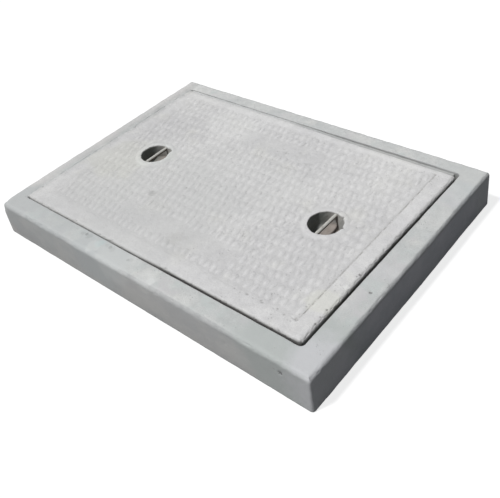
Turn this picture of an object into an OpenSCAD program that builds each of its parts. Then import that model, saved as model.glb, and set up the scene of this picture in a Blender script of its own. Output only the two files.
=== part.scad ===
// Concrete manhole cover resting in its rebated concrete frame.
// The origin is at the middle of the frame's underside, +Z is up and the long sides lie along X.
// The left end is towards -X and the front side towards -Y. All sizes are in millimetres.

/* [Frame] */
// Clear opening under the cover, along X
opening_l = 900; // [700:10:1200]
// Clear opening under the cover, along Y
opening_w = 600; // [450:10:900]
// Width of the ledge under each end of the cover
end_ledge_w = 20; // [16:1:35]
// Width of the ledge under each long side of the cover
side_ledge_w = 26; // [16:1:35]
// Mean width of the rim round the recess, at the top
rim_w = 50; // [36:1:90]
// Height of the frame
frame_h = 100; // [85:1:150]
// How far each outer side leans out, from the top down to the base
side_lean = 4; // [1:0.5:12]
// Radius of the upright outer corners at the base
frame_corner_r = 14; // [8:1:30]
// Radius of the outer top edges
frame_edge_r = 8; // [2:0.5:10]
// Radius of the recess's upright corners
recess_corner_r = 5; // [2:0.5:10]
// Radius of the clear opening's upright corners
opening_corner_r = 12; // [4:1:40]
// How far the mould's core sat towards the left end
core_shift_l = 9; // [0:0.5:12]
// How far the mould's core sat towards the back
core_shift_b = 6; // [0:0.5:12]

/* [Cover] */
// Thickness of the cover, which ends flush with the frame's rim
cover_t = 65; // [58:1:72]
// Gap between cover and frame at the left end
gap_left = 2; // [0.5:0.5:5]
// Gap between cover and frame at the right end
gap_right = 8.5; // [1:0.5:10]
// Gap between cover and frame along the front
gap_front = 6; // [1:0.5:8]
// Gap between cover and frame along the back
gap_back = 5; // [1:0.5:8]
// How far each side of the cover leans in, from the top down to the underside
cover_lean = 2; // [0.5:0.5:4]
// Radius of the cover's upright corners
cover_corner_r = 8; // [5:0.5:20]
// Radius of the cover's top edges
cover_edge_r = 6; // [1:0.5:8]

/* [Tread] */
// Mean width of the plain border at each end of the studded field
end_border_w = 42; // [20:1:60]
// Mean width of the plain border along each long side of the studded field
side_border_w = 33; // [20:1:60]
// Width of the groove between border and field
groove_w = 3; // [2:0.5:6]
// Depth of the groove below the border
groove_depth = 3; // [1.8:0.1:4]
// Height of a stud
stud_h = 1.2; // [0.6:0.1:1.8]
// Length of a stud, along Y
stud_l = 30; // [12:0.5:40]
// Width of a stud, along X
stud_w = 13; // [6:0.5:16]
// Distance between studs in one row
stud_pitch = 20; // [17:0.5:40]
// Distance between rows of studs
row_pitch = 29.25; // [24:0.25:60]
// How far the pattern plate sat towards the back
plate_shift_b = 10.5; // [0:0.5:12]
// Length of the plain strip along the back of the field
back_strip_l = 250; // [60:5:500]
// Width of the plain strip along the back of the field
back_strip_w = 50; // [20:1:80]
// Distance of the back strip's middle from the field's middle
back_strip_y = 190; // [150:1:235]
// Length of the plain strip along the front of the field
front_strip_l = 370; // [60:5:600]
// Width of the plain strip along the front of the field
front_strip_w = 40; // [20:1:80]
// Distance of the front strip's middle from the field's middle
front_strip_y = 219; // [150:1:235]

/* [Lifting pockets] */
// Distance between the middles of the two pockets
pocket_pitch = 590; // [450:2:640]
// How far the pair of pockets sat towards the back
pocket_shift_b = 2; // [0:0.5:12]
// Width across a pocket's mouth
pocket_d = 84; // [76:1:110]
// How far a pocket's wall closes in, from the mouth down to the floor
pocket_taper = 2; // [0.5:0.5:10]
// Depth of a pocket below the border
pocket_depth = 42; // [36:1:48]
// Radius between a pocket's wall and its floor
pocket_foot_r = 8; // [3:0.5:12]
// Radius of the edge of a pocket's mouth
pocket_lip_r = 2; // [1:0.5:4]
// Width of the plain ring round a pocket
pocket_ring_w = 13; // [6:1:25]

/* [Lifting bars] */
// Diameter of a bar
bar_d = 10; // [8:0.5:16]
// Depth of the bar's top below the border
bar_drop = 3; // [2:0.5:8]
// Radius of the bar's bends, at its middle line
bar_bend_r = 16; // [12:1:20]
// How far the bar's straight run goes into the concrete beyond the pocket's mouth
bar_hold = 10; // [4:1:30]
// Length of each straight leg below its bend
bar_leg = 14; // [4:1:20]

/* [Hidden] */

recess_l = opening_l + 2 * end_ledge_w;
recess_w = opening_w + 2 * side_ledge_w;
frame_l = recess_l + 2 * rim_w + 2 * side_lean;
frame_w = recess_w + 2 * rim_w + 2 * side_lean;
ledge_z = frame_h - cover_t;
core_x = -core_shift_l;
core_y = core_shift_b;

cover_l = recess_l - gap_left - gap_right;
cover_w = recess_w - gap_front - gap_back;
cover_x = core_x + (gap_left - gap_right) / 2;
cover_y = core_y + (gap_front - gap_back) / 2;

field_l = cover_l - 2 * end_border_w;
field_w = cover_w - 2 * side_border_w;
field_x = cover_x;
field_y = cover_y + plate_shift_b;
field_z = frame_h - stud_h;

pockets_x = cover_x;
pockets_y = cover_y + pocket_shift_b;
bar_z = frame_h - bar_drop - bar_d / 2;
bar_run = pocket_d + 2 * bar_hold;

overshoot = 1;
sheet = 0.01;
edge_steps = 4;
concrete = "#c3c3bf";
rim_grey = "#bcbebd";
steel = "#a8a29a";
$fn = 48;
bar_fn = 24;

// Flat outline with round corners, centred
module round_rect(l, w, r) {
    square([l - 2 * r, w], center = true);
    square([l, w - 2 * r], center = true);
    for (x = [-1, 1], y = [-1, 1])
        translate([x * (l / 2 - r), y * (w / 2 - r)]) circle(r, $fn = 32);
}

// Block cast in a leaning mould. l, w and r are its size and corner radius at the base, inset is how far
// each side moves in on the way up, and edge_r rounds its top edges.
module cast_block(l, w, h, r, inset, edge_r) {
    hull() {
        linear_extrude(sheet) round_rect(l, w, r);
        for (i = [0 : edge_steps]) {
            turn = 90 * i / edge_steps;
            rise = h - edge_r + edge_r * sin(turn);
            step_in = inset * rise / h + edge_r * (1 - cos(turn));
            translate([0, 0, rise - sheet])
                linear_extrude(sheet)
                    round_rect(l - 2 * step_in, w - 2 * step_in, max(r - step_in, 1));
        }
    }
}

// Hollow of one pocket, turned about its upright axis, with the border's level at z = 0
module pocket_hollow() {
    mouth_r = pocket_d / 2;
    floor_r = mouth_r - pocket_taper;
    foot = [for (a = [0 : 15 : 75]) [
        floor_r - pocket_foot_r + pocket_foot_r * sin(a),
        -pocket_depth + pocket_foot_r * (1 - cos(a))]];
    lip = [for (a = [0 : 22.5 : 90]) [
        mouth_r + pocket_lip_r * (1 - cos(a)),
        -pocket_lip_r * (1 - sin(a))]];
    rotate_extrude()
        polygon(concat([[0, -pocket_depth]], foot, lip,
            [[mouth_r + pocket_lip_r, overshoot], [0, overshoot]]));
}

// Round bar with both ends bent down, its straight run along Y and its middle line at z = 0
module bent_bar() {
    rotate([90, 0, 0]) cylinder(h = bar_run, d = bar_d, center = true, $fn = bar_fn);
    for (end = [0, 180]) rotate([0, 0, end]) translate([0, bar_run / 2, -bar_bend_r]) {
        rotate([0, -90, 0]) rotate_extrude(angle = 90) translate([bar_bend_r, 0]) circle(d = bar_d, $fn = bar_fn);
        translate([0, bar_bend_r, -bar_leg]) cylinder(h = bar_leg, d = bar_d, $fn = bar_fn);
    }
}

module at_pocket(side) {
    translate([pockets_x + side * pocket_pitch / 2, pockets_y, 0]) children();
}

// A stud is left out where half of it or more would stand on a plain strip or reach a pocket's ring
function in_strip(x, y, l, w, mid) = abs(x) < (l + stud_w) / 2 && abs(y - mid) < (w + stud_l / 2) / 2;
function near_pocket(x, y) = norm([
    max(abs(abs(x + field_x - pockets_x) - pocket_pitch / 2) - stud_w / 4, 0),
    max(abs(y + field_y - pockets_y) - stud_l / 4, 0)]) < pocket_d / 2 + pocket_ring_w;
function is_stud(x, y) =
    !near_pocket(x, y)
    && !in_strip(x, y, back_strip_l, back_strip_w, back_strip_y)
    && !in_strip(x, y, front_strip_l, front_strip_w, -front_strip_y);

// Outlines of all the studs, in staggered rows
module studs() {
    rows = floor((field_w - stud_l) / 2 / row_pitch);
    for (row = [-rows : rows]) {
        stagger = abs(row) % 2 / 2;
        reach = floor((field_l - stud_w) / 2 / stud_pitch - stagger);
        for (i = [-reach - 2 * stagger : reach]) {
            x = (i + stagger) * stud_pitch;
            y = row * row_pitch;
            if (is_stud(x, y))
                translate([x, y]) polygon([[stud_w / 2, 0], [0, stud_l / 2], [-stud_w / 2, 0], [0, -stud_l / 2]]);
        }
    }
}

// Rebated concrete frame, cast in one piece
module frame() {
    color(rim_grey) difference() {
        cast_block(frame_l, frame_w, frame_h, frame_corner_r, side_lean, frame_edge_r);
        translate([core_x, core_y, ledge_z])
            linear_extrude(cover_t + overshoot) round_rect(recess_l, recess_w, recess_corner_r);
        translate([core_x, core_y, -overshoot])
            linear_extrude(frame_h) round_rect(opening_l, opening_w, opening_corner_r);
    }
}

// Concrete slab, cast in one piece with its tread, over the two cast-in bars
module cover() {
    color(concrete) difference() {
        union() {
            difference() {
                translate([cover_x, cover_y, ledge_z])
                    cast_block(cover_l - 2 * cover_lean, cover_w - 2 * cover_lean, cover_t,
                        cover_corner_r, -cover_lean, cover_edge_r);
                translate([field_x, field_y, frame_h - groove_depth])
                    linear_extrude(groove_depth + overshoot) square([field_l, field_w], center = true);
            }
            translate([field_x, field_y, frame_h - groove_depth])
                linear_extrude(groove_depth - stud_h)
                    square([field_l - 2 * groove_w, field_w - 2 * groove_w], center = true);
            translate([field_x, field_y, field_z]) linear_extrude(stud_h) studs();
            for (side = [-1, 1]) at_pocket(side)
                translate([0, 0, field_z]) cylinder(h = stud_h, d = pocket_d + 2 * pocket_ring_w);
        }
        for (side = [-1, 1]) at_pocket(side) {
            translate([0, 0, frame_h]) pocket_hollow();
            translate([0, 0, bar_z]) bent_bar();
        }
    }
}

// Steel bar cast in across a pocket, which a hook grips
module lifting_bar(side) {
    color(steel) at_pocket(side) translate([0, 0, bar_z]) bent_bar();
}

module lifting_bar_left() { lifting_bar(-1); }
module lifting_bar_right() { lifting_bar(1); }

frame();
cover();
lifting_bar_left();
lifting_bar_right();
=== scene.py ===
import math

import bmesh
import bpy
import numpy as np
from mathutils import Matrix, Vector, noise


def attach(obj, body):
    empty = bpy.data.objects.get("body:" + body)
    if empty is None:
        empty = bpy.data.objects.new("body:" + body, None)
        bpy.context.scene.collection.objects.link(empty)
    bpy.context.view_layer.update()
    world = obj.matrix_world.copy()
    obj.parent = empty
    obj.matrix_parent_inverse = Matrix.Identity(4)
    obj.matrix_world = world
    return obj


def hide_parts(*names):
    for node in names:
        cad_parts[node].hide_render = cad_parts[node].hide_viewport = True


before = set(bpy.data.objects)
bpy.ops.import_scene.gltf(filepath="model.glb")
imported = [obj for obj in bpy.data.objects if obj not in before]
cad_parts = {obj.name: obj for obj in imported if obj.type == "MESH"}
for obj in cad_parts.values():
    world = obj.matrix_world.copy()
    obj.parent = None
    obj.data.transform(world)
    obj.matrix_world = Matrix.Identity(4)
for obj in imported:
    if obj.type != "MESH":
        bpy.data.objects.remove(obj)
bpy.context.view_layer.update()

# Frame. A rebated ring of grey concrete, cast in a steel mould round a loose core, so the recess sits
# a little off the middle. Its arrises are worn round, the rim was trowelled by hand, and the outer
# sides keep the small air holes and the waviness of the mould.
MM = 0.001
FRAME_TOP = 100.0
LEAN = 4.0
RIM_HALF = (520.0, 376.0)
RIM_CORNER = 5.0
CORE_MIDDLE = (-9.0, 6.0)
RECESS_HALF = (470.0, 326.0)
RECESS_CORNER = 11.0
RECESS_MARGIN = 0.4
OPENING_HALF = (450.0, 300.0)
OPENING_CORNER = 12.0
LEDGE_Z = 35.0
OUTER_WEAR = 10.2
FRONT_WEAR = 11.6
RIM_BAND = 4.0
RECESS_BAND = 3.0
MESH_PITCH = 3.6
CORNER_STEPS = 8


def outline(middle, half, radius, z, along_x, along_y):
    """One level loop of points in millimetres, anticlockwise from the front left corner."""
    lx, ly = half[0] - radius, half[1] - radius
    corners = [(-lx, -ly, 180), (lx, -ly, 270), (lx, ly, 0), (-lx, ly, 90)]
    points = []
    for k, (x, y, turn) in enumerate(corners):
        for step in range(CORNER_STEPS + 1):
            a = math.radians(turn + 90 * step / CORNER_STEPS)
            points.append((middle[0] + x + radius * math.cos(a), middle[1] + y + radius * math.sin(a), z))
        start, next_corner = points[-1], corners[(k + 1) % 4]
        shares = along_y if k % 2 else along_x
        for t in shares if k < 2 else [1 - s for s in reversed(shares)]:
            points.append((start[0] + (next_corner[0] - x) * t, start[1] + (next_corner[1] - y) * t, z))
    return points


def even(length, pitch):
    """The shares of a length at which it is divided evenly, its two ends left out."""
    count = round(length / pitch)
    return [k / count for k in range(1, count)]


def skin(per_loop, loops, closed=False):
    """Faces between each loop of points and the next one."""
    faces = []
    for row in range(loops if closed else loops - 1):
        low, high = row * per_loop, (row + 1) % loops * per_loop
        for k in range(per_loop):
            n = (k + 1) % per_loop
            faces.append((low + k, low + n, high + n, high + k))
    return faces


def wander(points, wave, seed):
    """A smooth random field over the points, from about -1 to 1, with humps about wave millimetres apart."""
    shift = Vector((seed * 17.31, seed * 5.17, seed * 9.73))
    return np.array([noise.fractal(Vector(p) / wave + shift, 1.0, 2.0, 2) for p in points])


def fade(values, start, end):
    """0 before start, 1 past end and even between them. End may be the lower one."""
    return np.clip((values - start) / (end - start), 0, 1)


def inset_in(points, middle, half, corner):
    """How far each point lies inside a round-cornered rectangle, and the way out of it."""
    p = points[:, :2] - np.array(middle)
    q = np.abs(p) - (np.array(half) - corner)
    past = np.maximum(q, 0)
    reach = np.linalg.norm(past, axis=1)
    inset = corner - reach - np.minimum(q.max(axis=1), 0)
    axis = np.eye(2)[q.argmax(axis=1)]
    out = np.where(reach[:, None] > 1e-6, past / np.maximum(reach, 1e-6)[:, None], axis) * np.sign(p)
    return inset, out


def round_over(points, inset, out, depth, down, radius):
    """Wears an arris to a radius: inset and depth are each point's distances from its two faces, and
    down is the sign along Z of the way in from the level face."""
    far = np.hypot(radius - inset, radius - depth)
    worn = (inset < radius) & (depth < radius) & (far > radius)
    pull = np.where(worn, radius / np.maximum(far, 1e-6), 1.0)
    new_inset = radius - (radius - inset) * pull
    new_depth = radius - (radius - depth) * pull
    points[:, :2] -= out * (new_inset - inset)[:, None]
    points[:, 2] += down * (new_depth - depth)


def dent(points, middle, radius, depth, way):
    """Presses a round hollow into the surface."""
    near = np.linalg.norm(points - np.array(middle), axis=1) / radius
    points += np.array(way) * (depth * np.clip(1 - near ** 2, 0, 1) ** 1.3)[:, None]


def piece(name, points, faces, material):
    """A mesh object in the row's frame, from points in millimetres."""
    mesh = bpy.data.meshes.new(name)
    mesh.from_pydata([tuple(p) for p in np.asarray(points) * MM], [], faces)
    mesh.shade_smooth()
    mesh.materials.append(material)
    obj = bpy.data.objects.new(name, mesh)
    bpy.context.scene.collection.objects.link(obj)
    return obj


def srgb(r, g, b):
    """A colour for a socket, from the three values that a screen shows."""
    return [((c / 255 + 0.055) / 1.055) ** 2.4 if c > 10 else c / 255 / 12.92 for c in (r, g, b)] + [1.0]


def feed(tree, node, key, value):
    """Links an output into one of a node's inputs, or sets that input's own value."""
    if isinstance(value, bpy.types.NodeSocket):
        tree.links.new(value, node.inputs[key])
    else:
        node.inputs[key].default_value = value


def add_node(tree, kind, *inputs, **settings):
    """A new node with its settings made and its inputs fed, each input as (key, value)."""
    node = tree.nodes.new(kind)
    for key, value in settings.items():
        setattr(node, key, value)
    for key, value in inputs:
        feed(tree, node, key, value)
    return node


class Finish:
    """A material under construction. Masks run from 0 to 1, and coordinates and levels are in metres."""

    def __init__(self, name):
        self.material = bpy.data.materials.new(name)
        self.material.use_nodes = True
        self.tree = self.material.node_tree
        self.shader = self.tree.nodes["Principled BSDF"]
        self.place = self.add("ShaderNodeTexCoord").outputs["Object"]

    def add(self, kind, *inputs, **settings):
        return add_node(self.tree, kind, *inputs, **settings)

    def give(self, key, value):
        """Feeds one input of the shader."""
        feed(self.tree, self.shader, key, value)

    def noise(self, pitch, detail=3.0, rough=0.55, stretch=None, warp=0.0):
        """Noise whose humps are about pitch millimetres apart."""
        source = self.place
        if stretch:
            source = self.add("ShaderNodeMapping", ("Vector", source), ("Scale", stretch)).outputs[0]
        node = self.add("ShaderNodeTexNoise", ("Vector", source), ("Scale", 1000 / pitch),
                        ("Detail", detail), ("Roughness", rough), ("Distortion", warp))
        return node.outputs[0]

    def cells(self, pitch):
        """Distance from the nearest of scattered points, which lie about pitch millimetres apart."""
        node = self.add("ShaderNodeTexVoronoi", ("Vector", self.place), ("Scale", 1000 / pitch))
        return node.outputs["Distance"]

    def ramp(self, value, low, high, to_low=0.0, to_high=1.0):
        """Soft step from to_low, where the value is low, to to_high, where it is high."""
        inputs = enumerate((value, low, high, to_low, to_high))
        return self.add("ShaderNodeMapRange", *inputs, interpolation_type="SMOOTHSTEP").outputs[0]

    def math(self, operation, a, b=0.0, c=0.0):
        return self.add("ShaderNodeMath", (0, a), (1, b), (2, c), operation=operation).outputs[0]

    def times(self, *values):
        """The product of all the masks and shares."""
        product = values[0]
        for value in values[1:]:
            product = self.math("MULTIPLY", product, value)
        return product

    def mix(self, share, a, b, blend="MIX"):
        """Colour a, turned by a share to colour b."""
        inputs = (0, share), (6, a), (7, b)
        return self.add("ShaderNodeMix", *inputs, data_type="RGBA", blend_type=blend).outputs[2]

    def mottle(self, pitch, a, b, rough=0.6):
        """Two colours blended by noise."""
        return self.mix(self.noise(pitch, 4.0, rough), a, b)

    def stain(self, share, tone):
        """Turns the colour so far by a share to a tone."""
        self.colour = self.mix(share, self.colour, tone)

    def shaded(self, level):
        """The colour so far, made lighter or darker."""
        return self.mix(1.0, self.colour, level, "MULTIPLY")

    def axes(self):
        return self.add("ShaderNodeSeparateXYZ", (0, self.place)).outputs

    def off(self, along, middle):
        """Distance along one axis from a middle in millimetres."""
        return self.math("ABSOLUTE", self.math("SUBTRACT", along, middle * MM))

    def facing_up(self):
        """How far the surface faces upwards, from -1 to 1."""
        normal = self.add("ShaderNodeNewGeometry").outputs["Normal"]
        return self.add("ShaderNodeSeparateXYZ", (0, normal)).outputs[2]

    def spot(self, middle, radius, edge=0.55):
        """A ragged patch round a point in millimetres, from 1 inside to 0 outside."""
        middle = [v * MM for v in middle]
        away = self.add("ShaderNodeVectorMath", (0, self.place), (1, middle), operation="DISTANCE")
        swing = 1.4 * radius * MM
        ragged = self.math("MULTIPLY_ADD", self.noise(radius * 0.8, 4.0, 0.65), swing, -swing / 2)
        reach = self.math("ADD", away.outputs["Value"], ragged)
        return self.ramp(reach, radius * MM * edge, radius * MM, 1.0, 0.0)

    def dirty_joint(self, middle):
        """Stains what lies near the silted joint at the left end, more so towards the back."""
        x, y, _ = self.axes()
        across = self.ramp(self.off(x, middle), 0.003, 0.016, 1.0, 0.0)
        along = self.ramp(y, -0.1, 0.1, 0.16, 0.38)
        patchy = self.ramp(self.noise(28, 4.0, 0.6), 0.35, 0.65, 0.3, 1.0)
        self.stain(self.times(across, along, patchy), srgb(150, 151, 150))

    def relief(self, *layers):
        """Bump from (height, distance in millimetres) layers."""
        below = []
        for height, distance in layers:
            bump = self.add("ShaderNodeBump", ("Distance", distance * MM), ("Height", height), *below)
            below = [("Normal", bump.outputs[0])]
        self.give("Normal", bump.outputs[0])


def concrete(name, pale, deep, tint, sand):
    """Cast concrete: cloudy cement paste, sand grains showing through, and small air holes."""
    f = Finish(name)
    clouds = f.ramp(f.noise(210, 4.0, 0.6, warp=0.4), 0.36, 0.64)
    f.colour = f.mix(clouds, pale, deep)
    f.stain(f.ramp(f.noise(95, 3.0), 0.52, 0.72, 0.0, 0.6), tint)
    patches = f.ramp(f.noise(24, 6.0, 0.7), 0.32, 0.68, 1 - sand * 0.9, 1 + sand * 0.6)
    grains = f.ramp(f.noise(2.6, 2.0, 0.7), 0.3, 0.7, 1 - sand, 1 + sand * 0.8)
    few = f.ramp(f.noise(45, 2.0), 0.54, 0.62)
    holes = f.times(f.ramp(f.cells(7.0), 0.12, 0.2, 1.0, 0.0), few)
    f.hole_height = f.math("SUBTRACT", 1.0, holes)
    # The small air holes are painted darker: painted shade inside them.
    f.colour = f.shaded(f.times(patches, grains, f.math("MULTIPLY_ADD", holes, -0.35, 1.0)))
    f.give("Roughness", 0.88)
    f.give("Specular IOR Level", 0.22)
    return f


RIM_STAINS = [
    ((455, -350, 100), 190, 0.9, srgb(179, 183, 181)),
    ((-120, -345, 100), 130, 0.85, srgb(185, 188, 188)),
    ((-475, -335, 100), 90, 0.85, srgb(183, 185, 185)),
    ((480, 350, 100), 110, 0.5, srgb(189, 191, 190)),
    ((-198, -331, 100), 6, 0.6, srgb(132, 134, 133)),
    ((-186, -333, 100), 10, 0.4, srgb(158, 161, 160)),
    ((-209, -334, 100), 8, 0.35, srgb(158, 161, 160)),
    ((-106, -332, 100), 7, 0.55, srgb(132, 133, 132)),
    ((-96, -335, 100), 10, 0.4, srgb(158, 161, 160)),
    ((-118, -331, 100), 8, 0.35, srgb(158, 161, 160)),
    ((-34, -339, 100), 5, 0.5, srgb(132, 134, 133)),
    ((-27, -336, 100), 8, 0.35, srgb(160, 162, 161)),
    ((-141, -337, 100), 16, 0.45, srgb(186, 200, 200)),
    ((500, 262, 100), 60, 0.2, srgb(186, 192, 195)),
    ((50, -356, 99), 34, 0.3, srgb(218, 220, 218)),
    ((66, -358, 99), 13, 0.4, srgb(220, 222, 220)),
    # Painted shade in the dent on the rim near the right end.
    ((493, -126, 100), 5, 0.7, srgb(110, 108, 106)),
    ((-150, -352, 100), 24, 0.35, srgb(210, 212, 210)),
    ((484, -60, 100), 40, 0.3, srgb(198, 196, 199)),
    ((-60, -352, 100), 80, 0.3, srgb(212, 213, 211)),
    # Painted shade in the pit in the front side.
    ((446.5, -379, 70), 6.5, 0.95, srgb(58, 56, 54)),
    # Painted light: a paler, bluish patch towards the front of the shaded right end.
    ((524, -330, 50), 110, 0.4, srgb(214, 211, 217)),
    # Painted shade in the small pit in the front side.
    ((431, -379, 72), 4, 0.4, srgb(120, 118, 116)),
]
RIM_DENTS = [
    ((446.5, -378, 70), 5, 3.5, (0, 1, 0)),
    ((431, -378, 72), 3.5, 1.5, (0, 1, 0)),
    ((300, -377, 60), 3.5, 2, (0, 1, 0)),
    ((120, -377, 40), 3, 2, (0, 1, 0)),
    ((493, -126, 100), 4.5, 2.5, (0, 0, -1)),
    ((491, -119, 100), 3.5, 1.2, (0, 0, -1)),
    ((-522, -378, 102), 34, 5.5, (0.8, 0.6, -0.1)),
]

rim_finish = concrete("frame_concrete_worn",
                      srgb(205, 205, 203), srgb(190, 192, 191), srgb(205, 204, 201), 0.08)
f = rim_finish
f.stain(f.ramp(f.noise(64, 4.0, 0.6, warp=0.6), 0.5, 0.68, 0.0, 0.6), srgb(196, 194, 195))
f.stain(f.ramp(f.noise(58, 4.0, 0.6, (1.3, 0.8, 1)), 0.52, 0.7, 0.0, 0.6), srgb(188, 194, 192))
x, y, z = f.axes()
up = f.facing_up()
# The formed sides take their own darker grey. The mask reaches up over the rounded arris, and there the
# darker colour is painted shade that tones down its highlight.
formed_and_arris_shade = f.ramp(up, 0.45, 0.98, 1.0, 0.0)
side_tone = f.ramp(f.noise(120, 5.0, 0.65, (1, 1, 2.0)), 0.38, 0.62)
f.stain(f.times(formed_and_arris_shade, 0.85), f.mix(side_tone, srgb(182, 182, 182), srgb(194, 193, 191)))
# Painted shade: the right end, which the lamp leaves in shade, is painted in bluish greys, the cast of the
# sky in shade.
right_end = f.ramp(x, 0.512, 0.518)
end_sky_shade_tone = f.ramp(f.noise(70, 5.0, 0.6), 0.38, 0.62)
f.stain(f.times(formed_and_arris_shade, right_end, 0.7), f.mix(end_sky_shade_tone, srgb(192, 192, 199), srgb(180, 182, 189)))
# Painted shade and light: the sides are painted darker towards the foot and a little lighter towards the top.
f.stain(formed_and_arris_shade, f.shaded(f.ramp(z, 0.0, 0.09, 0.93, 1.05)))
# The rounded arris is painted darker in patches: partly grime from handling, partly painted shade that tones
# down its highlight.
arris_grime_and_shade = f.times(f.ramp(up, 0.88, 0.995, 1.0, 0.0), f.ramp(z, 0.084, 0.092))
f.stain(f.times(arris_grime_and_shade, f.ramp(f.noise(20, 5.0, 0.65), 0.35, 0.65, 0.55, 1.0)), srgb(170, 171, 171))
f.stain(f.times(f.spot((-300, -348, 100), 150, 0.2), 0.5), srgb(178, 182, 182))
f.stain(f.ramp(x, -0.496, -0.478, 0.5, 0.0), srgb(198, 195, 194))
# Painted shade: the walls of the recess are painted darker the further they go down into the joint round the
# cover.
in_recess = [f.math("LESS_THAN", f.off(along, middle), (half + RECESS_MARGIN) * MM)
             for along, middle, half in zip((x, y), CORE_MIDDLE, RECESS_HALF)]
f.stain(f.times(*in_recess, f.ramp(z, 0.086, 0.098, 0.75, 0.1)), srgb(96, 92, 88))
f.dirty_joint(-486)
for middle, radius, share, tone in RIM_STAINS:
    f.stain(f.times(f.spot(middle, radius), share), tone)
f.give("Base Color", f.colour)
f.relief((f.noise(3.2, 3.0, 0.7), 0.35), (f.noise(14, 4.0, 0.6), 0.5), (f.hole_height, 0.6))

along_x = even(2 * RIM_HALF[0], MESH_PITCH)
along_y = even(2 * RIM_HALF[1], MESH_PITCH)


def ring(share, start, end, z0, z1):
    """A loop part of the way between two outlines, each given as (middle, half size, corner radius)."""
    mixed = [np.array(a) * (1 - share) + np.array(b) * share for a, b in zip(start, end)]
    return outline(mixed[0], mixed[1], float(mixed[2]), z0 + (z1 - z0) * share, along_x, along_y)


def shape(middle, half, radius, grow=0.0):
    """An outline's middle, half size and corner radius, grown outwards all round."""
    return middle, (half[0] + grow, half[1] + grow), radius + grow


base = shape((0, 0), RIM_HALF, RIM_CORNER, LEAN)
rim = shape((0, 0), RIM_HALF, RIM_CORNER)
rim_band = shape((0, 0), RIM_HALF, RIM_CORNER, -RIM_BAND)
recess_band = shape(CORE_MIDDLE, RECESS_HALF, RECESS_CORNER, RECESS_BAND)
recess = shape(CORE_MIDDLE, RECESS_HALF, RECESS_CORNER)
opening = shape(CORE_MIDDLE, OPENING_HALF, OPENING_CORNER)
stretches = [
    (base, rim, 0, FRAME_TOP,
     [0, .015] + [.05 * k for k in range(1, 17)] + [.83, .86, .885, .91, .93, .95, .965, .98, .99]),
    (rim, rim_band, FRAME_TOP, FRAME_TOP, [0, .25, .5, .75]),
    (rim_band, recess_band, FRAME_TOP, FRAME_TOP,
     [0, .03, .06, .1, .15] + [.21 + .078 * k for k in range(10)]),
    (recess_band, recess, FRAME_TOP, FRAME_TOP, [0, .33, .66]),
    (recess, recess, FRAME_TOP, LEDGE_Z, [0, .015, .03, .05, .08, .13, .2, .3, .42, .56, .7, .85]),
    (recess, opening, LEDGE_Z, LEDGE_Z, [0, .25, .5, .75, .92]),
    (opening, opening, LEDGE_Z, 0, [0, .05, .2, .4, .6, .8, .95]),
    (opening, base, 0, 0, [0, .03, .2, .4, .6, .8, .97]),
]
loops = [ring(s, start, end, z0, z1) for start, end, z0, z1, shares in stretches for s in shares]
per_loop = len(loops[0])
points = np.array([p for loop in loops for p in loop])
px, py, pz = points.T
wave_long, wave_mid, wave_short = wander(points, 190, 1), wander(points, 42, 2), wander(points, 11, 3)
inset, out = inset_in(points, (0, 0), RIM_HALF, RIM_CORNER)
true_inset = inset + LEAN * (FRAME_TOP - pz) / FRAME_TOP
outer_side = true_inset < 1
upper = pz > FRAME_TOP - 0.01
sink = np.clip(0.45 + 0.45 * wave_long + 0.25 * wave_mid + 0.12 * wave_short, 0, 2)
wear = np.where(py < -360, FRONT_WEAR, OUTER_WEAR) + 2.2 * wander(points, 85, 4) + 1.5 * wander(points, 17, 5)
chips = np.clip(wander(points, 9, 6) - 0.34, 0, 1) * 7
round_over(points, true_inset, out, FRAME_TOP - pz, -1, np.clip(wear + chips, 8.5, 15))
round_over(points, true_inset, out, pz, 1, np.clip(2.4 + 0.8 * wave_mid + 0.3 * chips, 1, 5))
recess_inset, recess_out = inset_in(points, CORE_MIDDLE, RECESS_HALF, RECESS_CORNER)
outside = -recess_inset
from_recess = np.where(outside > -0.01, np.maximum(outside, 0), 99)
arris = np.clip(2.2 + 1.2 * wave_mid + 0.35 * chips, 1.2, 5)
round_over(points, from_recess, -recess_out, FRAME_TOP - pz, -1, arris)
points[:, :2] -= out * (sink * outer_side)[:, None]
bowed = fade(px, 480, 495) * fade(py, 80, 230) * fade(true_inset, 18, 0)
px -= 2.4 * bowed
pz -= sink * upper
for middle, radius, depth, way in RIM_DENTS:
    dent(points, middle, radius, depth, way)
casting = piece("frame_casting", points, skin(per_loop, len(loops), closed=True), rim_finish.material)
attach(casting, "root")
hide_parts("frame")

# Cover. A thick slab of paler concrete, cast face down on a pattern plate that left a recessed field
# with a plain border and a thin groove round it. Two round pockets were formed for lifting, and their
# edges crumbled a little when the formers were pulled out.
COVER_MIDDLE = (-12.25, 6.5)
COVER_HALF = (464.75, 320.5)
COVER_THICK = 65.0
COVER_LEAN = 2.0
COVER_CORNER = 8.0
COVER_WEAR = 6.6
UNDERSIDE_BEVEL = 1.5
FIELD_MIDDLE = (-11.65, 17.0)
FIELD_HALF = (423.35, 287.5)
PLATE_Z = 98.0
GROOVE_Z = 97.0
GROOVE_WALLS = (-0.5, 0.5, 2.5, 3.5)
TEAR_WIDTH = 1.6
TEAR_DEPTH = 1.6
POCKET_PITCH = 590.0
POCKET_Y = 8.5
POCKETS = [(COVER_MIDDLE[0] + side * POCKET_PITCH / 2, POCKET_Y) for side in (-1, 1)]
POCKET_MOUTH = 42.0
POCKET_FLOOR = 40.0
POCKET_FLOOR_Z = 58.0
POCKET_FOOT = 8.0
POCKET_WALL = 32.6
POCKET_LIP = ((0.3, 99.2), (1.0, 99.8), (1.4, 102))
POCKET_REACH = 49.0
FORMER_SIDES = 120
RING_R = 55.0
FLAT_INSET = 14.0
GRID_PITCH = 3.3
SIDE_LEVELS = (36.5, 44, 52, 60, 68, 76, 82, 86, 89, 91.5, 93.5, 95.5, 97, 98.3, 99.2)
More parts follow.
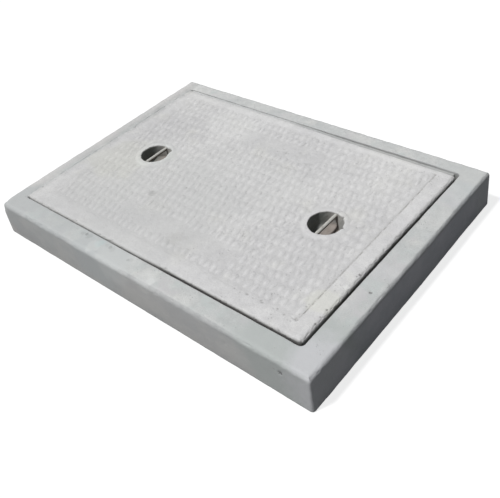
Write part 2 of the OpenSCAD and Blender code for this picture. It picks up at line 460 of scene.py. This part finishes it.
EDGE_INSETS = (0, 1, 2, 3.2, 4.5, 6, 8, 10.5, FLAT_INSET)
EDGE_CHIPS = [(462, -301, 6, 2), (455, -262, 5, 1.6), (451, -205, 5, 1.4), (330, -313, 4, 3)]
EDGE_PITS = [(445, -94, 4.5), (443, -102, 3.2), (444, -214, 3.6), (444, -237, 3.0), (447, -257, 4.0)]
FRONT_PITS = [
    (241, -271, 3.6), (259, -274, 2.6), (276, -269, 5.0), (294, -272, 3.0),
    (313, -267, 4.4), (319, -270, 5.0), (357, -266, 3.2), (379, -272, 4.0),
    (405, -266, 4.5), (404, -254, 3.2), (403, -229, 4.0), (404, -221, 3.0),
]
PIT_DEPTH = 1.4
DENT_Z = 99.0
COVER_STAINS = [
    ((-176, -127, 99), 15, 0.6, srgb(146, 144, 142)),
    ((443, -140, 99), 9, 0.6, srgb(226, 226, 224)),
    ((-160, -122, 99), 34, 0.16, srgb(168, 168, 166)),
    ((0, 60, 99), 240, 0.3, srgb(196, 196, 195)),
    ((-90, -190, 99), 260, 0.5, srgb(193, 193, 192)),
    ((-330, -150, 99), 130, 0.35, srgb(195, 195, 193)),
    ((422, -199, 99), 46, 0.4, srgb(218, 218, 207)),
    ((6, -223, 99), 30, 0.2, srgb(170, 169, 166)),
    ((-390, -60, 99), 110, 0.25, srgb(205, 205, 192)),
    ((-307, 8, 100), 75, 0.3, srgb(204, 208, 204)),
    ((-200, 262, 99), 120, 0.25, srgb(224, 224, 222)),
    ((-290, -300, 99), 150, 0.3, srgb(196, 196, 195)),
]
# Painted shade: dark spots painted into the front pits and the edge pits.
PIT_SHADES = [((x, y, 98.4), size, 0.45, srgb(138, 136, 134)) for x, y, size in FRONT_PITS]
PIT_SHADES += [((x, y, 98.2), size, 0.7, srgb(96, 94, 92)) for x, y, size in EDGE_PITS]


def lines(breaks, pitch):
    """Grid lines through all the breaks, no further apart than about pitch."""
    found = []
    for a, b in zip(breaks, breaks[1:]):
        count = max(1, round((b - a) / pitch))
        found += [a + (b - a) * k / count for k in range(count)]
    return found + [breaks[-1]]


def field_breaks(axis):
    """Where the grid needs a line along one axis: at its ends and at the walls of the field's groove."""
    shift = FIELD_MIDDLE[axis] - COVER_MIDDLE[axis]
    low, high = -FIELD_HALF[axis] + shift, FIELD_HALF[axis] + shift
    end = COVER_HALF[axis] - FLAT_INSET
    walls = [low + wall for wall in GROOVE_WALLS] + [high - wall for wall in reversed(GROOVE_WALLS)]
    return [-end] + walls + [high + TEAR_WIDTH, end]


grid_x = lines(field_breaks(0), GRID_PITCH)
grid_y = lines(field_breaks(1), GRID_PITCH)
span_x, span_y = grid_x[-1], grid_y[-1]
along_x = [(x + span_x) / (2 * span_x) for x in grid_x[1:-1]]
along_y = [(y + span_y) / (2 * span_y) for y in grid_y[1:-1]]


def cover_loop(z, inset):
    """The slab's outline at a level, so far inside its leaning side."""
    lean = COVER_LEAN * (FRAME_TOP - z) / COVER_THICK
    half = [h - lean - inset for h in COVER_HALF]
    return outline(COVER_MIDDLE, half, max(COVER_CORNER - inset, 0), z, along_x, along_y)


def caps(per_loop, loops):
    """Faces that close the first and the last loop of a skin."""
    last = per_loop * (loops - 1)
    return [tuple(reversed(range(per_loop))), tuple(range(last, last + per_loop))]


def rework(mesh, work):
    """Passes a mesh through one bmesh operation."""
    shell = bmesh.new()
    shell.from_mesh(mesh)
    work(shell)
    shell.to_mesh(mesh)
    shell.free()


def bake(obj):
    """Gives an object the mesh that its modifiers make, and clears them."""
    made = bpy.data.meshes.new_from_object(obj.evaluated_get(bpy.context.evaluated_depsgraph_get()))
    obj.modifiers.clear()
    obj.data = made


loops = [cover_loop(LEDGE_Z, UNDERSIDE_BEVEL)]
loops += [cover_loop(z, 0) for z in SIDE_LEVELS]
loops += [cover_loop(FRAME_TOP, inset) for inset in EDGE_INSETS]
per_loop = len(loops[0])
underside, _ = caps(per_loop, len(loops))
faces = skin(per_loop, len(loops)) + [underside]
points = [p for loop in loops for p in loop]
first, columns = len(points), len(grid_x)
points += [(x + COVER_MIDDLE[0], y + COVER_MIDDLE[1], FRAME_TOP) for y in grid_y for x in grid_x]
for row in range(len(grid_y) - 1):
    for column in range(columns - 1):
        a = first + row * columns + column
        faces.append((a, a + 1, a + columns + 1, a + columns))
points = np.array(points)
px, py, pz = points.T
wave_long, wave_mid, wave_short = wander(points, 230, 11), wander(points, 38, 12), wander(points, 9, 13)
inset, out = inset_in(points, COVER_MIDDLE, COVER_HALF, COVER_CORNER)
true_inset = inset - COVER_LEAN * (FRAME_TOP - pz) / COVER_THICK
right_end = fade(px, 430, 440)
front_side = fade(py, -295, -305)
chips = np.clip(wander(points, 8, 15) - 0.26, 0, 1) * 12
chips += np.clip(wander(points, 5, 17) - 0.12, 0, 1) * 6 * right_end
wear = COVER_WEAR + 1.0 * wander(points, 60, 14) + 0.8 * wander(points, 14, 16) + chips
wear += 2.8 * right_end + 1.2 * front_side - 2.8 * fade(px, -460, -468)
wear += 4.5 * fade(px, -20, 100) * fade(py, 305, 315)
upper = pz > FRAME_TOP - 0.01
round_over(points, true_inset, out, FRAME_TOP - pz, -1, np.clip(wear, 3.2, 12.5))
within, _ = inset_in(points, FIELD_MIDDLE, FIELD_HALF, 1)
groove_depth, plate_depth = FRAME_TOP - GROOVE_Z, FRAME_TOP - PLATE_Z
hollow = np.interp(within, GROOVE_WALLS, [0, groove_depth, groove_depth, plate_depth])
torn = (px > 400) & (within > -1) & (within < 0)
hollow = np.where(torn, TEAR_DEPTH, hollow)
faint = fade(px, 407, 393) ** 0.6 * np.clip(0.98 + 0.25 * wave_mid, 0.93, 1.0)
soft = plate_depth * np.interp(within, [-6, 0, 8, 17], [0, 0.25, 0.75, 1])
hollow = hollow * (1 - faint) + soft * faint
hollow += fade(within, 0, 6) * 0.55 * wander(points * (1.25, 0.8, 1), 13, 18)
for x, y in POCKETS:
    hollow *= fade(np.hypot(px - x, py - y), RING_R - 3, RING_R + 4)
rough = np.clip(0.16 + 0.2 * wave_long + 0.12 * wave_mid + 0.1 * wave_short, 0, 1)
pz -= upper * (hollow + rough)
py -= 1.8 * front_side * fade(px, 60, -390)
py -= 3.6 * np.maximum(fade(px, -60, 140), 0.15) * fade(py, 300, 320)
px += 2.3 * right_end * fade(py, 60, 260)
for x, y, radius, depth in EDGE_CHIPS + [(x, y, size, PIT_DEPTH) for x, y, size in FRONT_PITS + EDGE_PITS]:
    dent(points, (x, y, DENT_Z), radius, depth, (0, 0, -1))

cover_finish = concrete("cover_concrete_treaded",
                        srgb(214, 213, 212), srgb(205, 204, 204), srgb(210, 209, 205), 0.07)
slab = piece("cover_slab", points, faces, cover_finish.material)
rework(slab.data, lambda shell: bmesh.ops.remove_doubles(shell, verts=shell.verts, dist=2e-5))


def pocket_former(name, middle, wider, seed, notches):
    """The plug that leaves a pocket: a round, tapered form with a lumpy wall, in millimetres. Each notch is
    (angle, half angle, growth at its foot, growth at the plate, height of its foot)."""
    rows = [(r, POCKET_FLOOR_Z) for r in (5.0, 11.0, 18.0, 26.0)]
    for degrees in range(0, 90, 15):
        a = math.radians(degrees)
        rows.append((POCKET_FLOOR - POCKET_FOOT + POCKET_FOOT * math.sin(a),
                     POCKET_FLOOR_Z + POCKET_FOOT * (1 - math.cos(a))))
    for t in (0, .2, .4, .55, .7, .82, .91, 1):
        rows.append((POCKET_FLOOR + (POCKET_MOUTH - POCKET_FLOOR) * t,
                     POCKET_FLOOR_Z + POCKET_FOOT + POCKET_WALL * t))
    rows += [(POCKET_MOUTH + out, z) for out, z in POCKET_LIP]
    turns = [2 * math.pi * k / FORMER_SIDES for k in range(FORMER_SIDES)]
    points = np.array([(r * math.cos(a), r * math.sin(a), z) for r, z in rows for a in turns])
    px, py, pz = points.T
    lumps = wander(points, 15, seed) + 0.6 * wander(points, 5, seed + 1)
    radius = np.hypot(px, py)
    angle = np.degrees(np.arctan2(py, px))
    floor_end = POCKET_FLOOR_Z + 4
    wall = fade(pz, floor_end, floor_end + 6)
    grow = wall * (wider + 0.9 * lumps)
    for at, half_angle, at_foot, at_plate, foot_z in notches:
        turn = np.abs((angle - at + 180) % 360 - 180)
        growth = at_foot + (at_plate - at_foot) * fade(pz, foot_z, PLATE_Z)
        grow += wall * np.clip(1 - (turn / half_angle) ** 2, 0, 1) * growth
    points[:, :2] *= ((radius + grow) / radius)[:, None]
    pz += np.where(pz < floor_end, 0.7 + 0.9 * lumps, 0)
    points[:, :2] += np.array(middle)
    faces = skin(FORMER_SIDES, len(rows)) + caps(FORMER_SIDES, len(rows))
    return piece(name, points, faces, cover_finish.material)


left_notches = [(22, 20, 0, -2.8, 80), (51, 19, -3, 6.4, 85)]
right_notches = [(37, 46, -11, 1.5, 82), (6, 5, 0, 5, 86), (58, 5, 0, 4.5, 88), (32, 7, 0, 1.5, 88)]
formers = [
    pocket_former("left_former", POCKETS[0], -1.0, 21, left_notches),
    pocket_former("right_former", POCKETS[1], 0.8, 25, right_notches),
]
for former in formers:
    cut = slab.modifiers.new("pocket", "BOOLEAN")
    cut.operation = "DIFFERENCE"
    cut.solver = "EXACT"
    cut.object = former
bake(slab)
slab.data.name = "cover_slab"
rework(slab.data, lambda shell: bmesh.ops.triangulate(shell, faces=shell.faces))
for former in formers:
    bpy.data.objects.remove(former)
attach(slab, "root")
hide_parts("cover")

f = cover_finish
x, y, z = f.axes()
up = f.facing_up()
# Darker low down, on the field between the studs, and a little lighter on their tops and the border: partly
# dirt in the hollows, partly painted shade. The slab is also darker towards its left end.
hollows = f.ramp(z, 0.0978, 0.0991, 0.94, 1.01)
f.colour = f.shaded(f.times(hollows, f.ramp(x, -0.42, -0.05, 0.94, 1.0)))
# The rounded arris of the slab is painted darker: partly grime from handling, partly painted shade that tones
# down its highlight.
arris_grime_and_shade = f.times(f.ramp(up, 0.86, 0.99, 1.0, 0.0), f.ramp(z, 0.0900, 0.0940))
f.stain(f.times(arris_grime_and_shade, 0.38), srgb(180, 180, 178))
f.dirty_joint(-473)
# Stains, and the painted shade in the pits.
for middle, radius, share, tone in COVER_STAINS + PIT_SHADES:
    f.stain(f.times(f.spot(middle, radius, 0.2 if radius < 6 else 0.55), share), tone)

from_pair = f.math("WRAP", f.math("SUBTRACT", x, COVER_MIDDLE[0] * MM), POCKET_PITCH * MM, 0.0)
local = f.math("SUBTRACT", from_pair, POCKET_PITCH / 2 * MM)
beside = f.off(y, POCKET_Y)
from_middle = f.math("SQRT", f.math("MULTIPLY_ADD", local, local, f.times(beside, beside)))
inner = f.times(f.math("LESS_THAN", from_middle, POCKET_REACH * MM), f.math("GREATER_THAN", z, 0.054),
                f.ramp(z, 0.0950, 0.0992, 1.0, 0.0))
# The inside of each pocket is painted a darker, mottled grey: partly grime, partly painted shade down in the
# pocket.
f.stain(f.times(inner, 0.9), f.mottle(10, srgb(160, 158, 154), srgb(120, 118, 113)))
rust = f.times(inner, f.ramp(z, 0.0590, 0.0740, 1.0, 0.0))
f.stain(f.times(rust, 0.85), f.mottle(9, srgb(160, 152, 146), srgb(130, 119, 111)))
# Painted shade: the pocket's left side, which the lamp leaves in shade, is painted darker.
shaded_left_wall = f.times(inner, f.ramp(local, -0.036, -0.008, 1.0, 0.0))
f.stain(f.times(shaded_left_wall, 0.92), f.mottle(8, srgb(130, 133, 130), srgb(100, 105, 102)))
shelf = f.times(inner, f.ramp(local, 0.014, 0.026), f.ramp(z, 0.0770, 0.0830))
f.stain(f.times(shelf, 0.85), f.mottle(7, srgb(142, 141, 138), srgb(98, 97, 94)))

side_reach = f.math("ADD", f.off(y, COVER_MIDDLE[1]), (COVER_HALF[0] - COVER_HALF[1]) * MM)
edge = f.math("MAXIMUM", f.off(x, COVER_MIDDLE[0]), side_reach)
# Painted shade: the slab's sides are painted very dark down in the joint, fading out towards the top.
f.stain(f.times(f.ramp(edge, 0.4600, 0.4630), f.ramp(z, 0.088, 0.097, 0.8, 0.0)), srgb(80, 77, 73))
# Painted shade: the slab's front side is painted very dark down in the joint, most of all towards the right.
front = f.times(f.ramp(y, -0.3085, -0.3050, 1.0, 0.0), f.ramp(x, -0.05, 0.10, 0.1, 1.0),
                f.ramp(z, 0.0945, 0.0990, 0.8, 0.0))
f.stain(front, srgb(66, 64, 62))
# Painted shade: the slab's back edge and side are painted darker in patches down in the joint, more so
# towards the right.
behind = f.times(f.ramp(y, 0.3145, 0.3230), f.ramp(x, -0.12, 0.16, 0.2, 0.8),
                 f.ramp(f.noise(16, 5.0, 0.65), 0.35, 0.6, 0.5, 1.0))
f.stain(behind, srgb(120, 119, 117))
# Painted shade: the floor of the groove round the field is painted darker in patches.
groove = f.times(f.ramp(z, 0.0970, 0.0976, 1.0, 0.0), f.math("SUBTRACT", 1.0, f.ramp(edge, 0.4400, 0.4450)),
                 f.math("GREATER_THAN", z, 0.09), f.math("SUBTRACT", 1.0, inner),
                 f.ramp(f.noise(14, 4.0, 0.65), 0.38, 0.62, 0.0, 0.8))
f.stain(groove, srgb(150, 148, 145))
f.give("Base Color", f.colour)
f.relief((f.noise(2.8, 3.0, 0.7), 0.4), (f.noise(9, 4.0, 0.6), 0.8), (f.hole_height, 0.5))

# Tread. Rows of low oval studs stand on the field, each row half a step along from the last. They
# were cast with the slab from dimples in the pattern plate, and are worn lower here and there.
ROWS = 19
PER_ROW = 44
STUD_PITCH = 20.0
ROW_PITCH = 29.25
STUD_SIZE = (13.5, 25.5, 1.85)
SKIRT = 0.78
STUD_SINK = 0.1
STUD_DRIFT = (2.4, 3.6)
STUD_TURN = 0.26
STUD_SCALES = ((0.68, 0.66, 0.84), (1.1, 1.08, 1.0))
STUD_MESH = (10, 8)
STUD_DOME = 1.25
STUD_ROOT = 0.25
WEAR_SCALE = 9.0
WORN_HEIGHT = 0.78
TREAD_SEED = 5
BACK_STRIP_Y = 207
BACK_STRIP_HALF = (125, 25)
FRONT_STRIP_Y = -202
FRONT_STRIP_HALF = (185, 20)


def metres(*values):
    """A vector in metres, from millimetres."""
    return tuple(v * MM for v in values)


def tread_tree():
    """Geometry Nodes tree that stands studs on a staggered grid and leaves the plain places free."""
    tree = bpy.data.node_groups.new("stud_rows", "GeometryNodeTree")
    ids = {}
    for name, kind in [
        ("Rows", "Int"), ("Studs per row", "Int"), ("Stud pitch", "Float"), ("Row pitch", "Float"),
        ("Stud size", "Vector"), ("Skirt", "Float"),
        ("Field middle", "Vector"), ("Field half size", "Vector"),
        ("Pocket reach", "Float"), ("Pockets middle", "Vector"), ("Pockets half pitch", "Float"),
        ("Back strip middle", "Vector"), ("Back strip half", "Vector"),
        ("Front strip middle", "Vector"), ("Front strip half", "Vector"),
        ("Seed", "Int"), ("Finish", "Material"),
    ]:
        socket = tree.interface.new_socket(name=name, in_out="INPUT", socket_type="NodeSocket" + kind)
        ids[name] = socket.identifier
    tree.interface.new_socket(name="Geometry", in_out="OUTPUT", socket_type="NodeSocketGeometry")
    given = tree.nodes.new("NodeGroupInput").outputs

    def node(kind, *inputs, **settings):
        return add_node(tree, kind, *inputs, **settings).outputs[0]

    def calc(operation, a, b=0.0, c=0.0):
        return node("ShaderNodeMath", (0, a), (1, b), (2, c), operation=operation)

    def vector(x, y, z):
        return node("ShaderNodeCombineXYZ", (0, x), (1, y), (2, z))

    def apart(value):
        return add_node(tree, "ShaderNodeSeparateXYZ", (0, value)).outputs

    index = node("GeometryNodeInputIndex")
    row = calc("FLOOR", calc("DIVIDE", calc("ADD", index, 0.5), given["Studs per row"]))
    column = calc("SUBTRACT", index, calc("MULTIPLY", row, given["Studs per row"]))
    stagger = calc("MULTIPLY", calc("MODULO", calc("ADD", row, 1), 2), 0.5)
    half_row = calc("MULTIPLY", given["Studs per row"], 0.5)
    x = calc("MULTIPLY", calc("ADD", calc("SUBTRACT", column, half_row), stagger), given["Stud pitch"])
    middle_row = calc("MULTIPLY", calc("SUBTRACT", given["Rows"], 1), 0.5)
    y = calc("MULTIPLY", calc("SUBTRACT", row, middle_row), given["Row pitch"])
    spot = node("ShaderNodeVectorMath", (0, vector(x, y, 0)), (1, given["Field middle"]), operation="ADD")
    count = calc("MULTIPLY", given["Rows"], given["Studs per row"])
    spots = node("GeometryNodePoints", ("Count", count), ("Position", spot))

    place = apart(node("GeometryNodeInputPosition"))
    size = apart(given["Stud size"])

    def off(k, middle):
        return calc("ABSOLUTE", calc("SUBTRACT", place[k], apart(middle)[k]))

    def past(k, area, share):
        """1 where a stud's middle is further out than an area's half size less a share of the stud."""
        middle, half = area
        limit = calc("SUBTRACT", apart(half)[k], calc("MULTIPLY", size[k], share))
        return calc("GREATER_THAN", off(k, middle), limit)

    field = given["Field middle"], given["Field half size"]
    bare = calc("MAXIMUM", past(0, field, 0.5), past(1, field, 0.5))
    for name in ("Back strip", "Front strip"):
        strip = given[name + " middle"], given[name + " half"]
        clear = calc("MAXIMUM", past(0, strip, -0.5), past(1, strip, -0.25))
        bare = calc("MAXIMUM", bare, calc("SUBTRACT", 1.0, clear))
    from_pocket = [
        calc("ABSOLUTE", calc("SUBTRACT", off(0, given["Pockets middle"]), given["Pockets half pitch"])),
        off(1, given["Pockets middle"]),
    ]
    squares = [calc("POWER", calc("MAXIMUM", calc("SUBTRACT", away, calc("MULTIPLY", size[k], 0.25)), 0), 2)
               for k, away in enumerate(from_pocket)]
    near = calc("SQRT", calc("ADD", *squares))
    bare = calc("MAXIMUM", bare, calc("LESS_THAN", near, given["Pocket reach"]))
    kept = node("GeometryNodeDeleteGeometry", ("Geometry", spots), ("Selection", bare), domain="POINT")

    def chance(low, high, step):
        """A random vector for each stud, with a step of its own from the seed."""
        inputs = ("Min", low), ("Max", high), ("Seed", calc("ADD", given["Seed"], step))
        return node("FunctionNodeRandomValue", *inputs, data_type="FLOAT_VECTOR")

    drift = chance(metres(*[-v for v in STUD_DRIFT], 0), metres(*STUD_DRIFT, 0), 2)
    kept = node("GeometryNodeSetPosition", ("Geometry", kept), ("Offset", drift))
    segments, rings = STUD_MESH
    ball = node("GeometryNodeMeshUVSphere", ("Segments", segments), ("Rings", rings), ("Radius", 1.0))
    bx, by, bz = apart(node("GeometryNodeInputPosition"))
    square = calc("ADD", calc("MULTIPLY", bx, bx), calc("MULTIPLY", by, by))
    slope = calc("POWER", calc("MINIMUM", calc("SQRT", square), 1.0), 1.5)
    swell = calc("MULTIPLY_ADD", calc("COSINE", calc("MULTIPLY", slope, math.pi)), 0.5, 0.5)
    over = calc("GREATER_THAN", bz, -0.01)
    dome = calc("MULTIPLY", calc("MULTIPLY", swell, STUD_DOME), over)
    root = calc("MULTIPLY", bz, calc("SUBTRACT", 1.0, over))
    rise = calc("SUBTRACT", calc("ADD", dome, root), STUD_ROOT)
    stud = node("GeometryNodeSetPosition", ("Geometry", ball), ("Position", vector(bx, by, rise)))
    worn = node("ShaderNodeTexNoise", ("Scale", WEAR_SCALE), ("Detail", 2.0))
    height = node("ShaderNodeMapRange", (0, worn), (1, 0.3), (2, 0.6), (3, WORN_HEIGHT), (4, 1.0))
    full = vector(calc("MULTIPLY", size[0], given["Skirt"]), calc("MULTIPLY", size[1], given["Skirt"]),
                  calc("MULTIPLY", size[2], height))
    scale = node("ShaderNodeVectorMath", (0, chance(*STUD_SCALES, 0)), (1, full), operation="MULTIPLY")
    turn = chance((0, 0, -STUD_TURN), (0, 0, STUD_TURN), 1)
    studs = node("GeometryNodeInstanceOnPoints",
                 ("Points", kept), ("Instance", stud), ("Rotation", turn), ("Scale", scale))
    solid = node("GeometryNodeRealizeInstances", ("Geometry", studs))
    smooth = node("GeometryNodeSetShadeSmooth", ("Geometry", solid))
    done = node("GeometryNodeSetMaterial", ("Geometry", smooth), ("Material", given["Finish"]))
    tree.links.new(done, tree.nodes.new("NodeGroupOutput").inputs[0])
    return tree, ids


tree, ids = tread_tree()
studs = bpy.data.objects.new("cover_tread", bpy.data.meshes.new("cover_tread"))
bpy.context.scene.collection.objects.link(studs)
rows = studs.modifiers.new("stud_rows", "NODES")
rows.node_group = tree
for name, value in {
    "Rows": ROWS,
    "Studs per row": PER_ROW,
    "Stud pitch": STUD_PITCH * MM,
    "Row pitch": ROW_PITCH * MM,
    "Stud size": metres(*STUD_SIZE),
    "Skirt": SKIRT,
    "Field middle": metres(*FIELD_MIDDLE, PLATE_Z - STUD_SINK),
    "Field half size": metres(*FIELD_HALF, 0),
    "Pocket reach": RING_R * MM,
    "Pockets middle": metres(COVER_MIDDLE[0], POCKET_Y, 0),
    "Pockets half pitch": POCKET_PITCH / 2 * MM,
    "Back strip middle": metres(COVER_MIDDLE[0], BACK_STRIP_Y, 0),
    "Back strip half": metres(*BACK_STRIP_HALF, 0),
    "Front strip middle": metres(COVER_MIDDLE[0], FRONT_STRIP_Y, 0),
    "Front strip half": metres(*FRONT_STRIP_HALF, 0),
    "Seed": TREAD_SEED,
    "Finish": cover_finish.material,
}.items():
    rows[ids[name]] = value
bake(studs)
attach(studs, "root")

# Silt. Cement slurry and grit have packed the narrow joint at the left end almost to the top, and the
# joint along the back a little lower, more so towards the right. They set hard there as lumpy strips.
SILT_FOOT_Z = 88.0
SILT_PITCH = 3.1


def silt_bed(name, middle, half_width, length, along_y, top, seed, lower=0.0):
    """A lumpy strip in a joint, from its middle point, in millimetres. Its right half can lie lower."""
    columns = [half_width * (k / 3 - 1) for k in range(7)]
    section = [(c, top) for c in columns] + [(columns[-1], SILT_FOOT_Z), (columns[0], SILT_FOOT_Z)]
    count = round(length / SILT_PITCH)
    points = []
    for k in range(count + 1):
        t = length * (k / count - 0.5)
        for c, z in section:
            points.append((middle[0] + c, middle[1] + t, z) if along_y else (middle[0] + t, middle[1] + c, z))
    points = np.array(points)
    px, _, pz = points.T
    lumps = wander(points, 22, seed) + 0.5 * wander(points, 6, seed + 1)
    sunk = lower * fade(px, -60, 140) + np.clip(0.5 + 1.1 * lumps, 0, 3)
    pz -= (pz > SILT_FOOT_Z + 2) * sunk
    faces = skin(len(section), count + 1) + caps(len(section), count + 1)
    silt = piece(name, points, faces, silt_finish.material)
    rework(silt.data, lambda shell: bmesh.ops.recalc_face_normals(shell, faces=shell.faces))
    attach(silt, "root")


silt_finish = concrete("joint_silt", srgb(202, 203, 202), srgb(192, 194, 193), srgb(196, 196, 192), 0.08)
f = silt_finish
f.dirty_joint(-482)
x, y, _ = f.axes()
# Painted shade: the silt in the back joint is painted darker, more so towards the right.
f.stain(f.times(f.ramp(y, 0.3180, 0.3215), f.ramp(x, -0.20, 0.16, 0.0, 0.4)), srgb(130, 129, 127))
f.give("Base Color", f.colour)
f.relief((f.noise(3, 3.0, 0.7), 0.5))
silt_bed("joint_silt_left", (-478, 6), half_width=3, length=651, along_y=True, top=99.4, seed=31)
silt_bed("joint_silt_back", (-15.5, 327.8), half_width=4.6, length=921, along_y=False, top=96.6, seed=35,
         lower=2.6)

# Lifting bars. Each is a round steel rod with its ends bent down into the slab before the concrete
# was poured, so a hook can reach under it. Cement splashed on top has dried pale; rust shows below,
# and the dark lower side is also painted shade.
BAR_R = 5.0
BAR_Z = 92.0
BAR_HALF_RUN = 52.0
BAR_RUN_STEPS = 14
BAR_BEND = 16.0
BAR_FOOT_Z = 62.0
BAR_SIDES = 20

f = Finish("bar_steel_splashed_and_shaded")
cement = f.mottle(7, srgb(168, 166, 160), srgb(204, 203, 198), 0.65)
rust = f.mottle(5, srgb(146, 134, 124), srgb(108, 97, 88), 0.65)
bare = f.ramp(f.noise(16, 4.0, 0.65), 0.56, 0.66)
# Pale cement on the upward faces and rust below; the split by facing also paints the lower side darker as
# shade.
splash_and_underside_shade = f.times(f.ramp(f.facing_up(), 0.2, 0.62), f.math("MULTIPLY_ADD", bare, -0.45, 1.0))
f.give("Base Color", f.mix(splash_and_underside_shade, rust, cement))
f.give("Roughness", 0.7)
f.give("Specular IOR Level", 0.35)
f.relief((f.noise(2.5, 3.0, 0.7), 0.5), (f.noise(11, 3.0), 0.8))
bar_finish = f


def bar_path():
    """Points and directions along the bar's middle line, in the plane of its bends."""
    half = [(BAR_HALF_RUN * k / BAR_RUN_STEPS, BAR_Z, 1.0, 0.0) for k in range(BAR_RUN_STEPS)]
    for degrees in range(0, 91, 15):
        a = math.radians(degrees)
        half.append((BAR_HALF_RUN + BAR_BEND * math.sin(a), BAR_Z - BAR_BEND * (1 - math.cos(a)),
                     math.cos(a), -math.sin(a)))
    low = BAR_Z - BAR_BEND
    half += [(BAR_HALF_RUN + BAR_BEND, low + (BAR_FOOT_Z - low) * t, 0.0, -1.0) for t in (.33, .66, 1)]
    return [(-y, z, ty, -tz) for y, z, ty, tz in reversed(half[1:])] + half


path = bar_path()
turns = [2 * math.pi * k / BAR_SIDES for k in range(BAR_SIDES)]
for side, (x, y) in zip(("left", "right"), POCKETS):
    points = np.array([
        (x + BAR_R * math.cos(a), y + along - tz * BAR_R * math.sin(a), z + ty * BAR_R * math.sin(a))
        for along, z, ty, tz in path for a in turns])
    middles = np.repeat(np.array([(x, y + along, z) for along, z, _, _ in path]), BAR_SIDES, axis=0)
    thin = np.clip(0.35 + 0.5 * wander(points, 12, 41) + 0.3 * wander(points, 4, 42), 0, 1.2)
    points -= (points - middles) / BAR_R * thin[:, None]
    faces = [tuple(reversed(face)) for face in skin(BAR_SIDES, len(path)) + caps(BAR_SIDES, len(path))]
    bar = piece("bar_" + side, points, faces, bar_finish.material)
    rework(bar.data, lambda shell: bmesh.ops.recalc_face_normals(shell, faces=shell.faces))
    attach(bar, "root")
    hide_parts("lifting_bar_" + side)

# Floor. A plain pale studio floor that fills the view and keeps the soft shadow of the frame. The camera
# sees it lighter than the light that it throws back on the concrete.
FLOOR_HALF = 9
FLOOR_Z = -0.0004
FLOOR_TONE = (0.14, 0.14, 0.14, 1)
FLOOR_TONE_SEEN = (0.26, 0.26, 0.26, 1)
FLOOR_GLOW_SEEN = 0.79

floor_mesh = bpy.data.meshes.new("studio_floor")
floor_corners = [(x * FLOOR_HALF, y * FLOOR_HALF, FLOOR_Z) for x, y in ((-1, -1), (1, -1), (1, 1), (-1, 1))]
floor_mesh.from_pydata(floor_corners, [], [(0, 1, 2, 3)])
floor = bpy.data.objects.new("studio_floor", floor_mesh)
bpy.context.scene.collection.objects.link(floor)
f = Finish("studio_floor_paint")
seen = f.add("ShaderNodeLightPath").outputs["Is Camera Ray"]
f.give("Base Color", f.mix(seen, FLOOR_TONE, FLOOR_TONE_SEEN))
f.give("Roughness", 1.0)
f.give("Specular IOR Level", 0.0)
f.give("Emission Color", (1, 1, 1, 1))
f.give("Emission Strength", f.times(seen, FLOOR_GLOW_SEEN))
floor_mesh.materials.append(f.material)

# Light. One soft lamp from behind the viewer's left stands for the sun of the photograph, and the even,
# pale and slightly blue world fills the shade.
SUN_WAY = Vector((-0.22, -0.39, 0.89))
SUN_ENERGY = 3.05
SUN_SPREAD = math.radians(6.0)
SHADE_LEVEL = 0.17
SHADE_TINT = (0.91, 0.955, 1.0, 1)

lamp = bpy.data.lights.new("key", "SUN")
lamp.energy = SUN_ENERGY
lamp.angle = SUN_SPREAD
holder = bpy.data.objects.new("key", lamp)
holder.rotation_euler = SUN_WAY.to_track_quat("Z", "Y").to_euler()
bpy.context.scene.collection.objects.link(holder)

world = bpy.data.worlds.new("studio")
world.use_nodes = True
bpy.context.scene.world = world
tree = world.node_tree
rays = add_node(tree, "ShaderNodeLightPath").outputs
either = (0, rays["Is Camera Ray"]), (1, rays["Is Glossy Ray"])
seen = add_node(tree, "ShaderNodeMath", *either, operation="MAXIMUM").outputs[0]
level = add_node(tree, "ShaderNodeMapRange", (0, seen), ("To Min", SHADE_LEVEL), ("To Max", 1.0))
tint = add_node(tree, "ShaderNodeMix", data_type="RGBA")
for key, value in ((0, seen), (6, SHADE_TINT), (7, (1, 1, 1, 1))):
    feed(tree, tint, key, value)
feed(tree, tree.nodes["Background"], "Strength", level.outputs[0])
feed(tree, tree.nodes["Background"], "Color", tint.outputs[2])

# Camera. It looks down over the right front corner and is turned a little about its own axis, as the
# one that took the photograph was.
EYE = Vector((1.00991, -0.91428, 1.08657))
AIM = Vector((0.20405, -0.13193, 0.1))
ROLL = math.radians(-9.521)
FOCAL_LENGTH = 46.762
SHIFT = (-0.024, -0.008)

ahead = (AIM - EYE).normalized()
level_right = ahead.cross(Vector((0, 0, 1))).normalized()
level_up = level_right.cross(ahead)
right = level_right * math.cos(ROLL) + level_up * math.sin(ROLL)
up = right.cross(ahead)
camera = bpy.data.objects.new("camera", bpy.data.cameras.new("camera"))
camera.matrix_world = Matrix.Translation(EYE) @ Matrix((right, up, -ahead)).transposed().to_4x4()
camera.data.sensor_width = 36
camera.data.lens = FOCAL_LENGTH
camera.data.shift_x, camera.data.shift_y = SHIFT
camera.data.clip_start = 0.05
bpy.context.scene.collection.objects.link(camera)
bpy.context.scene.camera = camera
bpy.context.scene.view_settings.view_transform = "Standard"
